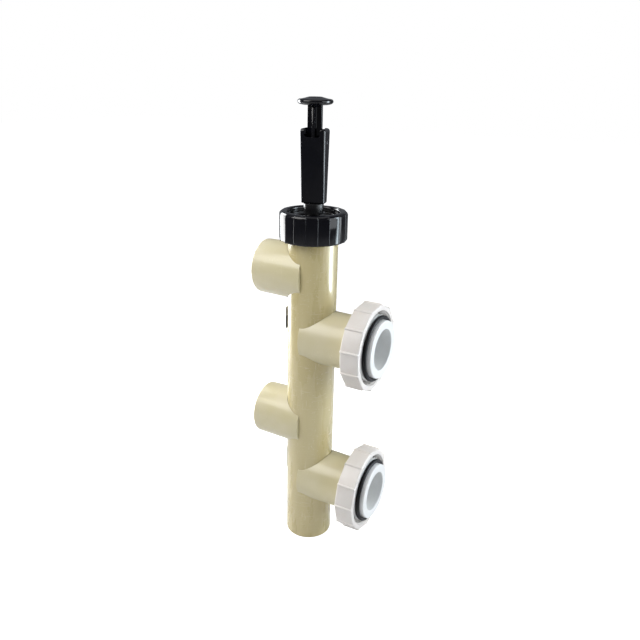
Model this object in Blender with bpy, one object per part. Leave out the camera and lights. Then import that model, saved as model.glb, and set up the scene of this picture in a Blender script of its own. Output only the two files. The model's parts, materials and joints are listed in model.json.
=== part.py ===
"""Push-pull slide valve for a pool filter's backwash line.

A vertical tube carries two pipe sockets on its -X side and two union ends on
its +X side.  Two pistons on one stem slide inside it.  The origin is the
centre of the lower filter union's mating face, +Z is up the stem and +X
points at the filter.  All lengths are in metres.
"""
from math import atan2, cos, pi, radians, sin, tau

import bmesh
import bpy
from mathutils import Matrix, Vector

# Driving dimensions ---------------------------------------------------------
GAP = 0.0003                 # air left between pieces that touch

TUBE_RADIUS = 0.03015        # 2 inch pipe size
BORE_RADIUS = 0.02625
TUBE_FOOT = -0.089
TUBE_TOP = 0.343
PORT_PITCH = 0.199           # between the two ports of one side
PORT_STAGGER = 0.0795        # a left port above the right port below it
PORT_RADIUS = 0.024

HUB_REACH = 0.0674           # hub mouth, measured from the stem's axis
HUB_ROOT_RADIUS = 0.035
HUB_MOUTH_RADIUS = 0.0336
SOCKET_RADIUS = 0.03035
SOCKET_FLOOR = 0.035

PORT_REACH = 0.098           # mating face, measured from the stem's axis
ADAPTER_BORE = 0.025
NECK_RADIUS = 0.033          # tailpiece where it passes through the nut's hole
NOSE_RADIUS = 0.0355
FLANGE_RADIUS = 0.0408
FLANGE_FRONT = 0.0883
UNION_RING = 0.0025          # section radius of the union's O-ring

UNION_BACK = 0.0658
UNION_FRONT = 0.0898
UNION_RADIUS = 0.0546
UNION_RIBS = 12

NUT_FOOT = 0.3202
NUT_TOP = 0.355
NUT_RADIUS = 0.0407
NUT_HOLE = 0.03085
NUT_RIBS = 18

STEM_RADIUS = 0.0075
PISTON_RADIUS = 0.0255
PISTON_HEIGHT = 0.018
PISTON_LOWER = -0.050        # centre of the lower piston, handle down
PISTON_SPACING = 0.198
PISTON_RING = 0.0019         # section radius of a piston's O-ring
PISTON_RING_OFFSET = 0.0045

PLATE_TOP = 0.3484
PLATE_THICKNESS = 0.0026
EAR_RADIUS = 0.018
SCREW_CIRCLE = 0.0225
SCREW_ANGLES = (90, 210, 330)

GRIP_FOOT = 0.364
GRIP_TOP = 0.448
GRIP_FOOT_SIZE = Vector((0.0288, 0.0160))
GRIP_TOP_SIZE = Vector((0.0304, 0.0242))
GRIP_FLOOR = 0.418           # the rod stands here, in the hollow upper part
KNOB_UNDERSIDE = 0.4729
KNOB_RADIUS = 0.0202
PIN_HEIGHT = 0.4325
HANDLE_TURN = radians(12.5)  # how far the square grip stands turned from the ears

TUBE_SIDES = 40              # sides of the tube and of the saddle that fits it
ROUND = 32                   # sides of the larger round pieces
SMALL_ROUND = 20
SEAL_SIDES = 24

# Finishes -------------------------------------------------------------------


def finish(name, colour, roughness, metallic=0.0):
    """A Principled material of one colour."""
    made = bpy.data.materials.new(name)
    made.use_nodes = True
    shader = made.node_tree.nodes["Principled BSDF"]
    shader.inputs["Base Color"].default_value = (*colour, 1.0)
    shader.inputs["Roughness"].default_value = roughness
    shader.inputs["Metallic"].default_value = metallic
    return made


# Shape helpers --------------------------------------------------------------


def axis_empty(name, height=0.0, tilt=0.0, turn=0.0):
    """An empty on the stem's axis whose own +Z is the axis of its pieces."""
    empty = bpy.data.objects.new(name, None)
    bpy.context.collection.objects.link(empty)
    empty.location = (-PORT_REACH, 0.0, height)
    empty.rotation_euler = (0.0, tilt, turn)
    return empty


def add_piece(name, bm, material, parent, smooth_below=35.0):
    """Turns a bmesh into a named object with its finish and parent."""
    bmesh.ops.recalc_face_normals(bm, faces=bm.faces)
    mesh = bpy.data.meshes.new(name)
    bm.to_mesh(mesh)
    bm.free()
    mesh.shade_smooth()
    mesh.set_sharp_from_angle(angle=radians(smooth_below))
    mesh.materials.append(material)
    piece = bpy.data.objects.new(name, mesh)
    bpy.context.collection.objects.link(piece)
    piece.parent = parent
    return piece


def spun(outline, sides, sweep=tau):
    """Spins an outline of (radius, height) about Z; off the axis it is closed."""
    bm = bmesh.new()
    points = [bm.verts.new((radius, 0.0, height)) for radius, height in outline]
    edges = [bm.edges.new(pair) for pair in zip(points, points[1:])]
    if min(radius for radius, _ in outline) > 0.0:
        edges.append(bm.edges.new((points[-1], points[0])))
    whole = sweep == tau
    bmesh.ops.spin(bm, geom=points + edges, cent=(0, 0, 0), axis=(0, 0, 1),
                   angle=sweep, steps=sides, use_merge=whole)
    bmesh.ops.remove_doubles(bm, verts=bm.verts, dist=1e-6)
    if not whole:
        bmesh.ops.holes_fill(bm, edges=bm.edges)
    return bm


def turned(name, outline, sides, material, parent):
    """A lathe-turned piece."""
    return add_piece(name, spun(outline, sides), material, parent)


def shaped(name, stations, count, material, parent):
    """A ring drawn through stations of (height, radius at an angle)."""
    bm = bmesh.new()
    bmesh.ops.create_circle(bm, segments=count, radius=1.0)
    edges = bm.edges[:]
    rim = bm.verts[:]
    for number, (height, radius_at) in enumerate(stations + stations[:1]):
        if number:
            grown = bmesh.ops.extrude_edge_only(bm, edges=edges)["geom"]
            rim = [item for item in grown if isinstance(item, bmesh.types.BMVert)]
            edges = [item for item in grown if isinstance(item, bmesh.types.BMEdge)
                     and all(corner in rim for corner in item.verts)]
        for vert in rim:
            angle = atan2(vert.co.y, vert.co.x)
            reach = radius_at(angle)
            vert.co = (reach * cos(angle), reach * sin(angle), height)
    bmesh.ops.remove_doubles(bm, verts=bm.verts, dist=1e-6)
    return add_piece(name, bm, material, parent)


def steady(radius):
    """The radius function of a plain circle."""
    return lambda angle: radius


def ribbed(radius, depth, ribs, raised=0.62):
    """The radius function of a rim with raised pads between shallow gaps."""
    def radius_at(angle):
        share = (angle / tau * ribs) % 1.0
        return radius if share < raised else radius - depth
    return radius_at


def hexagon(across_flats):
    """The radius function of a hexagon."""
    def radius_at(angle):
        return across_flats / 2 / cos(angle % (pi / 3) - pi / 6)
    return radius_at


def ring_outline(major, minor, height, sides=5):
    """The round section of an O-ring."""
    angles = [tau * step / sides for step in range(sides)]
    return [(major + minor * cos(a), height + minor * sin(a)) for a in angles]


def block(size, centre):
    """A box in a bmesh, given its size and its centre."""
    bm = bmesh.new()
    place = Matrix.Translation(centre) @ Matrix.Diagonal((*size, 1.0))
    bmesh.ops.create_cube(bm, size=1.0, matrix=place)
    return bm


def cutter(name, bm, parent, material):
    """A guide object that a Boolean takes away."""
    tool = add_piece(name, bm, material, parent)
    tool.hide_render = True
    tool.display_type = "WIRE"
    return tool


def cut(piece, tool):
    """Takes the tool's shape out of the piece."""
    boolean = piece.modifiers.new("cut_" + tool.name, "BOOLEAN")
    boolean.operation = "DIFFERENCE"
    boolean.solver = "EXACT"
    boolean.object = tool


# Valve body -----------------------------------------------------------------


def build_tube(stem_axis, port_axes, looks):
    """The tube, its threaded neck ring and the four port holes."""
    chamfer = 0.0012
    tube = turned("body_tube", [
        (BORE_RADIUS + chamfer, TUBE_FOOT),
        (TUBE_RADIUS - chamfer, TUBE_FOOT),
        (TUBE_RADIUS, TUBE_FOOT + chamfer),
        (TUBE_RADIUS, TUBE_TOP),
        (BORE_RADIUS, TUBE_TOP),
        (BORE_RADIUS, TUBE_FOOT + chamfer),
    ], TUBE_SIDES, looks["cream"], stem_axis)
    inside, outside = TUBE_RADIUS / 4, TUBE_RADIUS + 0.01
    for port, axis in port_axes.items():
        hole = spun([(0, inside), (PORT_RADIUS, inside),
                     (PORT_RADIUS, outside), (0, outside)], ROUND)
        cut(tube, cutter("port_hole_" + port, hole, axis, looks["black"]))
    ring_foot, ring_radius, ring_chamfer = 0.3215, 0.0362, 0.001
    turned("neck_ring", [
        (TUBE_RADIUS + GAP, ring_foot), (ring_radius - ring_chamfer, ring_foot),
        (ring_radius, ring_foot + ring_chamfer), (ring_radius, TUBE_TOP),
        (TUBE_RADIUS + GAP, TUBE_TOP),
    ], ROUND, looks["cream"], stem_axis)


def build_hubs(stem_axis, port_axes, looks):
    """Four pipe sockets, coped onto the tube as far as its middle plane."""
    saddle = cutter("saddle", spun([
        (0, TUBE_FOOT), (TUBE_RADIUS + GAP, TUBE_FOOT),
        (TUBE_RADIUS + GAP, TUBE_TOP), (0, TUBE_TOP),
    ], TUBE_SIDES), stem_axis, looks["black"])
    for name, axis in port_axes.items():
        hub = turned(name, [
            (HUB_ROOT_RADIUS, 0.0), (HUB_MOUTH_RADIUS, HUB_REACH - 0.001),
            (HUB_MOUTH_RADIUS - 0.001, HUB_REACH), (SOCKET_RADIUS, HUB_REACH),
            (SOCKET_RADIUS, SOCKET_FLOOR), (PORT_RADIUS, SOCKET_FLOOR),
            (PORT_RADIUS, 0.0),
        ], ROUND, looks["cream"], axis)
        cut(hub, saddle)


def build_unions(port_axes, looks):
    """White tailpieces glued into the filter hubs, with seals and nuts."""
    ring_seat = NOSE_RADIUS + GAP + UNION_RING
    flange_back = 0.0758
    for level in ("upper", "lower"):
        axis = port_axes["filter_hub_" + level]
        turned("union_adapter_" + level, [
            (SOCKET_RADIUS - GAP, SOCKET_FLOOR + GAP),
            (SOCKET_RADIUS - GAP, HUB_REACH + GAP),
            (NECK_RADIUS, HUB_REACH + GAP),
            (NECK_RADIUS, flange_back), (FLANGE_RADIUS, flange_back),
            (FLANGE_RADIUS, FLANGE_FRONT), (NOSE_RADIUS, FLANGE_FRONT),
            (NOSE_RADIUS, PORT_REACH - 0.001), (NOSE_RADIUS - 0.001, PORT_REACH),
            (ADAPTER_BORE, PORT_REACH), (ADAPTER_BORE, SOCKET_FLOOR + GAP),
        ], ROUND, looks["white"], axis)
        seat = FLANGE_FRONT + GAP + UNION_RING
        turned("union_o_ring_" + level, ring_outline(ring_seat, UNION_RING, seat, 6),
               SEAL_SIDES, looks["rubber"], axis)
        build_union_nut("union_nut_" + level, axis, looks)


def build_union_nut(name, axis, looks):
    """A ribbed nut whose inward flange pulls on the tailpiece's collar."""
    hole, thread_radius, shoulder = 0.0355, 0.0460, 0.0753
    round_over = 0.002
    rib = 0.0026
    full = ribbed(UNION_RADIUS, rib, UNION_RIBS)
    eased = ribbed(UNION_RADIUS - round_over, rib, UNION_RIBS)
    shaped(name, [
        (UNION_BACK, steady(hole)), (UNION_BACK, eased),
        (UNION_BACK + round_over, full), (UNION_FRONT - round_over, full),
        (UNION_FRONT, eased), (UNION_FRONT, steady(thread_radius)),
        (shoulder, steady(thread_radius)), (shoulder, steady(hole)),
    ], UNION_RIBS * 4, looks["white"], axis)


def build_bonnet_nut(stem_axis, looks):
    """The black ribbed nut that holds the bonnet down on the tube."""
    thread_radius, shoulder = 0.0368, 0.349
    round_over = 0.003
    rib = 0.0012
    full = ribbed(NUT_RADIUS, rib, NUT_RIBS)
    eased = ribbed(NUT_RADIUS - round_over, rib, NUT_RIBS)
    shaped("bonnet_nut", [
        (NUT_FOOT, steady(thread_radius)), (NUT_FOOT, eased),
        (NUT_FOOT + round_over, full), (NUT_TOP - round_over, full),
        (NUT_TOP, eased), (NUT_TOP, steady(NUT_HOLE)),
        (shoulder, steady(NUT_HOLE)), (shoulder, steady(thread_radius)),
    ], NUT_RIBS * 3, looks["black"], stem_axis)


def build_bonnet(stem_axis, looks):
    """The plug under the nut: gland, stem seals and the slotted lock plate."""
    flange_top, flange_foot, spigot_foot = 0.3487, TUBE_TOP + GAP, 0.318
    recess_floor, cavity_floor = 0.3455, 0.334
    groove_low, groove_high, groove_radius = 0.3240, 0.3284, 0.0230
    seal_radius, seal_section = 0.0096, 0.0017
    seal_heights = {"stem_seal_lower": 0.3215, "stem_seal_upper": 0.3295}
    gland, pocket, half_pocket = STEM_RADIUS + 0.0004, 0.0115, 0.0020
    outline = [
        (gland, spigot_foot), (0.0249, spigot_foot), (0.0259, 0.319),
        (0.0259, groove_low), (groove_radius, groove_low),
        (groove_radius, groove_high), (0.0259, groove_high),
        (0.0259, flange_foot), (0.0363, flange_foot), (0.0363, flange_top),
        (0.026, flange_top), (0.026, recess_floor), (0.0195, recess_floor),
        (0.0195, cavity_floor), (gland, cavity_floor),
    ]
    for height in sorted(seal_heights.values(), reverse=True):
        outline += [(gland, height + half_pocket), (pocket, height + half_pocket),
                    (pocket, height - half_pocket), (gland, height - half_pocket)]
    bonnet = turned("bonnet", outline, ROUND, looks["black"], stem_axis)
    turned("bonnet_o_ring", ring_outline(0.0246, 0.0014, (groove_low + groove_high) / 2),
           SEAL_SIDES, looks["rubber"], stem_axis)
    for name, height in seal_heights.items():
        turned(name, ring_outline(seal_radius, seal_section, height), SMALL_ROUND,
               looks["rubber"], stem_axis)
    build_lock_plate(stem_axis, bonnet, looks)


def build_lock_plate(stem_axis, bonnet, looks):
    """A disc with a slot that lets the stem's ears through at one turn only."""
    plate_foot = PLATE_TOP - PLATE_THICKNESS
    plate_radius, plate_hole, slot_width = 0.0257, 0.0082, 0.0088
    hole_radius, hole_foot, hole_top = 0.0017, 0.3385, 0.352
    shank, head, head_foot = 0.0014, 0.0027, PLATE_TOP + GAP
    plate = turned("lock_plate", [
        (plate_hole, plate_foot), (plate_radius, plate_foot),
        (plate_radius, PLATE_TOP), (plate_hole, PLATE_TOP),
    ], ROUND, looks["black"], stem_axis)
    slot = block((2 * EAR_RADIUS + 4 * GAP, slot_width, 0.01), (0, 0, PLATE_TOP))
    cut(plate, cutter("ear_slot", slot, stem_axis, looks["black"]))
    for number, degrees in enumerate(SCREW_ANGLES, start=1):
        angle = radians(degrees)
        spot = Vector((SCREW_CIRCLE * cos(angle), SCREW_CIRCLE * sin(angle), 0.0))
        hole = spun([(0, hole_foot), (hole_radius, hole_foot),
                     (hole_radius, hole_top), (0, hole_top)], 10)
        bmesh.ops.translate(hole, verts=hole.verts, vec=spot)
        tool = cutter(f"screw_hole_{number}", hole, stem_axis, looks["black"])
        cut(bonnet, tool)
        cut(plate, tool)
        screw = spun([
            (0, 0.3395), (0.0012, 0.3395), (shank, 0.3405),
            (shank, head_foot), (head, head_foot),
            (head, 0.3495), (0.0015, 0.3502), (0, 0.3502),
        ], 12)
        bmesh.ops.translate(screw, verts=screw.verts, vec=spot)
        add_piece(f"lock_screw_{number}", screw, looks["steel"], stem_axis)


def build_labels(stem_axis, looks):
    """Two blank stickers wrapped on the back of the tube's left side."""
    inner, thickness = TUBE_RADIUS + GAP, 0.0004
    first_edge, wrap = radians(145), radians(62)
    for name, low, high in (("label_upper", 0.205, 0.233), ("label_lower", 0.004, 0.034)):
        sticker = spun([(inner, low), (inner + thickness, low),
                        (inner + thickness, high), (inner, high)], 10, wrap)
        start = Matrix.Rotation(first_edge, 3, "Z")
        bmesh.ops.rotate(sticker, verts=sticker.verts, matrix=start)
        add_piece(name, sticker, looks["label"], stem_axis)


# Piston set -----------------------------------------------------------------


def build_pistons(stem_axis, looks):
    """Two grooved pistons held apart by a tube, with two O-rings each."""
    half = PISTON_HEIGHT / 2
    groove_floor = PISTON_RADIUS - 0.0041
    groove_half = PISTON_RING + GAP
    bore = STEM_RADIUS + 0.0003
    centres = (PISTON_LOWER, PISTON_LOWER + PISTON_SPACING)
    ring_number = 0
    for name, centre in zip(("piston_lower", "piston_upper"), centres):
        outline = [(bore, centre - half), (PISTON_RADIUS, centre - half)]
        for offset in (-PISTON_RING_OFFSET, PISTON_RING_OFFSET):
            height = centre + offset
            outline += [(PISTON_RADIUS, height - groove_half),
                        (groove_floor, height - groove_half),
                        (groove_floor, height + groove_half),
                        (PISTON_RADIUS, height + groove_half)]
            ring_number += 1
            section = ring_outline(0.02395, PISTON_RING, height)
            turned(f"piston_o_ring_{ring_number}", section, SEAL_SIDES,
                   looks["rubber"], stem_axis)
        outline += [(PISTON_RADIUS, centre + half), (bore, centre + half)]
        turned(name, outline, SEAL_SIDES, looks["nylon"], stem_axis)
    turned("spacer_tube", [
        (bore, centres[0] + half + GAP), (0.0105, centres[0] + half + GAP),
        (0.0105, centres[1] - half - GAP), (bore, centres[1] - half - GAP),
    ], SMALL_ROUND, looks["nylon"], stem_axis)


# Stem and handle ------------------------------------------------------------


def build_stem(stem_axis, looks):
    """The turned rod with its stop collar, washers, end nut and locking ears."""
    washer = 0.0015
    low_stop = PISTON_LOWER - PISTON_HEIGHT / 2 - GAP
    high_stop = PISTON_LOWER + PISTON_SPACING + PISTON_HEIGHT / 2 + GAP
    thread_top = low_stop - washer - GAP
    nut_height = 0.008
    foot = thread_top - nut_height - 0.0025
    collar = high_stop + washer + GAP
    stud, stud_tip = 0.0058, 0.3755
    turned("stem_rod", [
        (0, foot), (0.0042, foot), (0.005, foot + 0.0008), (0.005, thread_top),
        (STEM_RADIUS, thread_top + GAP), (STEM_RADIUS, collar),
        (0.012, collar), (0.012, collar + 0.004), (STEM_RADIUS, collar + 0.006),
        (STEM_RADIUS, GRIP_FOOT - GAP), (stud, GRIP_FOOT - GAP),
        (stud, stud_tip), (0, stud_tip),
    ], SMALL_ROUND, looks["black"], stem_axis)
    neck_foot, neck_radius, neck_top = 0.3515, 0.0118, GRIP_FOOT - GAP
    turned("handle_neck", [
        (STEM_RADIUS + GAP, neck_foot), (neck_radius - 0.001, neck_foot),
        (neck_radius, neck_foot + 0.001), (neck_radius, neck_top),
        (STEM_RADIUS + GAP, neck_top),
    ], SMALL_ROUND, looks["black"], stem_axis)
    for name, base in (("stop_washer_lower", low_stop - washer),
                       ("stop_washer_upper", high_stop)):
        turned(name, [
            (STEM_RADIUS + GAP, base), (0.0118, base),
            (0.0118, base + washer), (STEM_RADIUS + GAP, base + washer),
        ], SMALL_ROUND, looks["steel"], stem_axis)
    nut_top = low_stop - washer - GAP
    inside = steady(0.005 + GAP)
    outside = hexagon(0.016)
    shaped("end_nut", [
        (nut_top - nut_height, inside), (nut_top - nut_height, outside),
        (nut_top, outside), (nut_top, inside),
    ], SMALL_ROUND, looks["steel"], stem_axis)

    def ears(angle):
        from_slot = abs((angle + pi / 2) % pi - pi / 2)
        return EAR_RADIUS if from_slot < radians(14) else 0.011

    ear_foot, ear_top = 0.3385, 0.3440
    inside = steady(STEM_RADIUS + GAP)
    shaped("bayonet_collar", [
        (ear_foot, inside), (ear_foot, ears), (ear_top, ears), (ear_top, inside),
    ], 60, looks["black"], stem_axis)


def grip_size(height):
    """Widths of the grip in X and Y at a height."""
    share = (height - GRIP_FOOT) / (GRIP_TOP - GRIP_FOOT)
    return GRIP_FOOT_SIZE.lerp(GRIP_TOP_SIZE, share)


def tapered_block(low, high, wall=0.0):
    """A box between two heights that follows the grip's sides, inside a wall."""
    middle = (low + high) / 2
    bm = block((1, 1, high - low), (0, 0, middle))
    for vert in bm.verts:
        size = grip_size(vert.co.z)
        vert.co.x *= size.x - 2 * wall
        vert.co.y *= size.y - 2 * wall
    return bm


def build_grip(handle_axis, looks):
    """The tapered column, hollow above and notched front and back at its top."""
    notch_width, notch_floor = 0.0185, 0.4386
    wall, stud_hole_radius, stud_hole_top = 0.003, 0.0061, 0.378
    column = tapered_block(GRIP_FOOT, GRIP_TOP)
    uprights = [edge for edge in column.edges if edge.calc_length() > 0.05]
    bmesh.ops.bevel(column, geom=uprights, offset=0.0028, segments=2, profile=0.5,
                    affect="EDGES")
    rims = [edge for edge in column.edges
            if abs(edge.verts[0].co.z - edge.verts[1].co.z) < 1e-5]
    bmesh.ops.bevel(column, geom=rims, offset=0.0022, segments=2, profile=0.5,
                    affect="EDGES")
    grip = add_piece("grip", column, looks["black"], handle_axis)
    hollow = tapered_block(GRIP_FLOOR, GRIP_TOP + 0.004, wall=wall)
    cut(grip, cutter("grip_hollow", hollow, handle_axis, looks["black"]))
    notch = block((notch_width, 0.05, 0.02), (0, 0, notch_floor + 0.01))
    cut(grip, cutter("grip_notch", notch, handle_axis, looks["black"]))
    stud_hole = spun([(0, GRIP_FOOT - 0.002), (stud_hole_radius, GRIP_FOOT - 0.002),
                      (stud_hole_radius, stud_hole_top), (0, stud_hole_top)], SMALL_ROUND)
    cut(grip, cutter("stud_hole", stud_hole, handle_axis, looks["black"]))
    return grip


def build_handle_rod(handle_axis, looks):
    """The cross-shaped rod that stands in the grip and carries the knob."""
    foot, tip, tenon_tip = GRIP_FLOOR + GAP, KNOB_UNDERSIDE - GAP, 0.4770
    outline = []
    wide_arm, narrow_arm = 0.0087, 0.0076
    for quarter in range(4):
        arm = narrow_arm if quarter % 2 else wide_arm
        for degrees, reach in ((-16, arm - 0.0002), (0, arm), (16, arm - 0.0002), (45, 0.0038)):
            angle = radians(90 * quarter + degrees)
            outline.append((reach * cos(angle), reach * sin(angle), foot))
    bm = bmesh.new()
    base = bm.faces.new([bm.verts.new(point) for point in outline])
    face = base
    for rise, shrink in ((tip - foot, 1.0), (0.0, 0.55), (tenon_tip - tip, 1.0)):
        grown = bmesh.ops.extrude_face_region(bm, geom=[face])["geom"]
        if face is not base:
            bmesh.ops.delete(bm, geom=[face], context="FACES_ONLY")
        face = next(item for item in grown if isinstance(item, bmesh.types.BMFace))
        bmesh.ops.translate(bm, verts=face.verts, vec=(0, 0, rise))
        bmesh.ops.scale(bm, verts=face.verts, vec=(shrink, shrink, 1.0))
    return add_piece("handle_rod", bm, looks["black"], handle_axis)


def build_handle(handle_axis, looks):
    """Grip, rod, the pin that joins them, and the knob."""
    grip = build_grip(handle_axis, looks)
    rod = build_handle_rod(handle_axis, looks)
    pin_radius, pin_reach, hole_reach = 0.0018, 0.0148, 0.02
    across = Matrix.Translation((0, 0, PIN_HEIGHT)) @ Matrix.Rotation(pi / 2, 4, "Y")
    hole = spun([(0, -hole_reach), (pin_radius + GAP, -hole_reach),
                 (pin_radius + GAP, hole_reach), (0, hole_reach)], 12)
    bmesh.ops.transform(hole, matrix=across, verts=hole.verts)
    tool = cutter("pin_hole", hole, handle_axis, looks["black"])
    cut(grip, tool)
    cut(rod, tool)
    pin = spun([(0, -pin_reach), (pin_radius, -pin_reach),
                (pin_radius, pin_reach), (0, pin_reach)], 12)
    bmesh.ops.transform(pin, matrix=across, verts=pin.verts)
    add_piece("cross_pin", pin, looks["steel"], handle_axis)
    turned("knob", [
        (0, 0.4774), (0.0050, 0.4774), (0.0050, KNOB_UNDERSIDE),
        (0.0150, KNOB_UNDERSIDE), (0.0190, 0.4747), (KNOB_RADIUS, 0.4768),
        (0.0194, 0.4788), (0.0150, 0.4799), (0.0090, 0.4814), (0, 0.4817),
    ], ROUND, looks["black"], handle_axis)


# Assembly -------------------------------------------------------------------


def main():
    """Clears the scene and builds the whole valve."""
    for old in list(bpy.data.objects):
        bpy.data.objects.remove(old)
    looks = {
        "cream": finish("cream_pvc", (0.74, 0.70, 0.50), 0.35),
        "white": finish("white_pvc", (0.82, 0.81, 0.80), 0.38),
        "black": finish("black_abs", (0.012, 0.012, 0.014), 0.22),
        "rubber": finish("seal_rubber", (0.02, 0.02, 0.02), 0.65),
        "nylon": finish("piston_nylon", (0.55, 0.55, 0.52), 0.45),
        "steel": finish("stainless_steel", (0.55, 0.55, 0.56), 0.30, 1.0),
        "label": finish("label_film", (0.10, 0.12, 0.12), 0.45),
    }
    stem_axis = axis_empty("stem_axis")
    handle_axis = axis_empty("handle_axis", turn=HANDLE_TURN)
    left, right = -pi / 2, pi / 2
    port_axes = {
        "filter_hub_lower": axis_empty("filter_axis_lower", 0.0, right),
        "filter_hub_upper": axis_empty("filter_axis_upper", PORT_PITCH, right),
        "pump_hub": axis_empty("pump_axis", PORT_STAGGER, left),
        "return_hub": axis_empty("return_axis", PORT_STAGGER + PORT_PITCH, left),
    }
    build_tube(stem_axis, port_axes, looks)
    build_hubs(stem_axis, port_axes, looks)
    build_unions(port_axes, looks)
    build_bonnet(stem_axis, looks)
    build_bonnet_nut(stem_axis, looks)
    build_labels(stem_axis, looks)
    build_pistons(stem_axis, looks)
    build_stem(stem_axis, looks)
    build_handle(handle_axis, looks)


main()
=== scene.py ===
# %% [markdown]
# # A push-pull slide valve, dressed for a picture
# The valve stands beside a pool filter and sends the pump's water through it,
# or backwards through it to waste.  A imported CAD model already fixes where
# every piece is and how it moves.  This script loads that model as a frame and
# builds finer pieces, finishes, lights and a camera around it.

# %% Load the frame
import json
from math import cos, pi, radians, sin, sqrt, tau

import bpy
from mathutils import Matrix, Vector


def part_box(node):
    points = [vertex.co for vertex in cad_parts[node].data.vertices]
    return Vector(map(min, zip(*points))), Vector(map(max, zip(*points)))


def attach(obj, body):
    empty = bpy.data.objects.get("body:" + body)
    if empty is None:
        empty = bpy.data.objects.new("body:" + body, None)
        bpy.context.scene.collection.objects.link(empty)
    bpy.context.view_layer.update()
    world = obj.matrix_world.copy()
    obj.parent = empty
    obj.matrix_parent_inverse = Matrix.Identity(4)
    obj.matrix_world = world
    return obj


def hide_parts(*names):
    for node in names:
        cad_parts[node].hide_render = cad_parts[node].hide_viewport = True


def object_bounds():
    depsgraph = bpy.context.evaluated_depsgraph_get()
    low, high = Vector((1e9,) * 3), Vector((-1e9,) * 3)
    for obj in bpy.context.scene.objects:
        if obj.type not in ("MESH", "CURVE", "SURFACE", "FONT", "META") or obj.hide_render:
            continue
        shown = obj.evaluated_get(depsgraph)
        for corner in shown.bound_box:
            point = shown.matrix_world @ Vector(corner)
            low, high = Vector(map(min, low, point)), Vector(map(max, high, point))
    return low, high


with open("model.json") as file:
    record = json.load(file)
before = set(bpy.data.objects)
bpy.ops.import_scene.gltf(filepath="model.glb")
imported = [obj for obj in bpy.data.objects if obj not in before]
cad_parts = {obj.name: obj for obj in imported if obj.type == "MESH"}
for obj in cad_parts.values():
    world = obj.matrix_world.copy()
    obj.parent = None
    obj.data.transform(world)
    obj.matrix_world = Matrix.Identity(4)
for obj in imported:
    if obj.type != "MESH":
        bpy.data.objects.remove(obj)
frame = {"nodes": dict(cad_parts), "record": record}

cad_low, cad_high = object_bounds()
BODY_OF = {node: body for body, nodes in frame["record"]["behaviour"]["bodies"].items()
           for node in nodes}
print("CAD box in mm:", [round(1000 * edge) for edge in cad_high - cad_low])

# %% [markdown]
# ## Where things are
# Nearly every piece of a valve is round, so each one belongs to a line: the
# stem's axis, or the axis of one of the four ports.  A line is kept here as a
# point, the way along it, and the way that counts as outward from it.  The
# numbers come from the frame, so a change to the CAD moves the pieces too.

# %% Lines of the valve
X, Y, Z = Vector((1, 0, 0)), Vector((0, 1, 0)), Vector((0, 0, 1))
tube_low, tube_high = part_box("body_tube")
STEM_X = (tube_low.x + tube_high.x) / 2
TUBE_RADIUS = (tube_high.y - tube_low.y) / 2
TUBE_BORE = 0.02625
STEM_LINE = (Vector((STEM_X, 0, 0)), Z, X)
GAP = 0.0003  # air left between pieces that touch
BEYOND = 0.002  # how far a cutting tool reaches past the piece


def middle(node):
    """The height of a CAD node's middle."""
    low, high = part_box(node)
    return (low.z + high.z) / 2


def port_line(node, way_out):
    """The axis of a port, from the stem's axis outward."""
    return Vector((STEM_X, 0, middle(node))), way_out, Z


PORTS = {
    "filter_hub_lower": port_line("filter_hub_lower", X),
    "filter_hub_upper": port_line("filter_hub_upper", X),
    "pump_hub": port_line("pump_hub", -X),
    "return_hub": port_line("return_hub", -X),
}
for port, (point, way, _) in PORTS.items():
    print(port, "at height", round(1000 * point.z, 1), "mm, faces", "+X" if way.x > 0 else "-X")

# %% [markdown]
# ## Helpers for modelling
# An operator works on whatever is selected, and the frame's nodes arrive
# selected.  So each step starts by clearing the selection, and each helper
# ends in object mode with one piece active, as a person would leave it.


# %% Selecting one thing
def clear_selection():
    """Goes to object mode and deselects everything."""
    if bpy.context.mode != "OBJECT":
        bpy.ops.object.mode_set(mode="OBJECT")
    bpy.ops.object.select_all(action="DESELECT")


def pick(piece):
    """Makes one piece the selected and active one."""
    clear_selection()
    piece.select_set(True)
    bpy.context.view_layer.objects.active = piece


def edit(piece):
    """Opens a piece in edit mode with nothing selected."""
    pick(piece)
    bpy.ops.object.mode_set(mode="EDIT")
    bpy.ops.mesh.select_mode(type="VERT")
    bpy.ops.mesh.select_all(action="DESELECT")


def select_where(piece, kind, test):
    """Selects the faces, edges or vertices of an open piece that pass a test."""
    bpy.ops.mesh.select_mode(type={"polygons": "FACE", "edges": "EDGE",
                                   "vertices": "VERT"}[kind])
    bpy.ops.mesh.select_all(action="DESELECT")
    bpy.ops.object.mode_set(mode="OBJECT")
    chosen = [item for item in getattr(piece.data, kind) if test(item)]
    for item in chosen:
        item.select = True
    bpy.ops.object.mode_set(mode="EDIT")
    return len(chosen)


# %% [markdown]
# ## Turning on a lathe
# A moulded ring or a pipe is one outline spun round a line.  It could be built
# from cylinders, but an outline drawn point by point gives every chamfer and
# groove in one go.  A sharp corner never catches light as a real one does, so
# each outline point may carry a rounding, which becomes a short curve.


# %% Outline with rounded corners
def rounded(outline, closed, steps=4):
    """Replaces each (radius, height, rounding) corner by a short curve."""
    corners = [Vector(point[:2]) for point in outline]
    sizes = [point[2] if len(point) > 2 else 0.0 for point in outline]
    curve = []
    for number, corner in enumerate(corners):
        ends = not closed and number in (0, len(corners) - 1)
        if sizes[number] == 0.0 or ends:
            curve.append(corner)
            continue
        before = corners[number - 1] - corner
        after = corners[(number + 1) % len(corners)] - corner
        reach = min(sizes[number], 0.48 * before.length, 0.48 * after.length)
        first = corner + before.normalized() * reach
        last = corner + after.normalized() * reach
        for step in range(steps + 1):
            share = step / steps
            curve.append(first * (1 - share) ** 2 + corner * 2 * share * (1 - share)
                         + last * share ** 2)
    return curve


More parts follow.
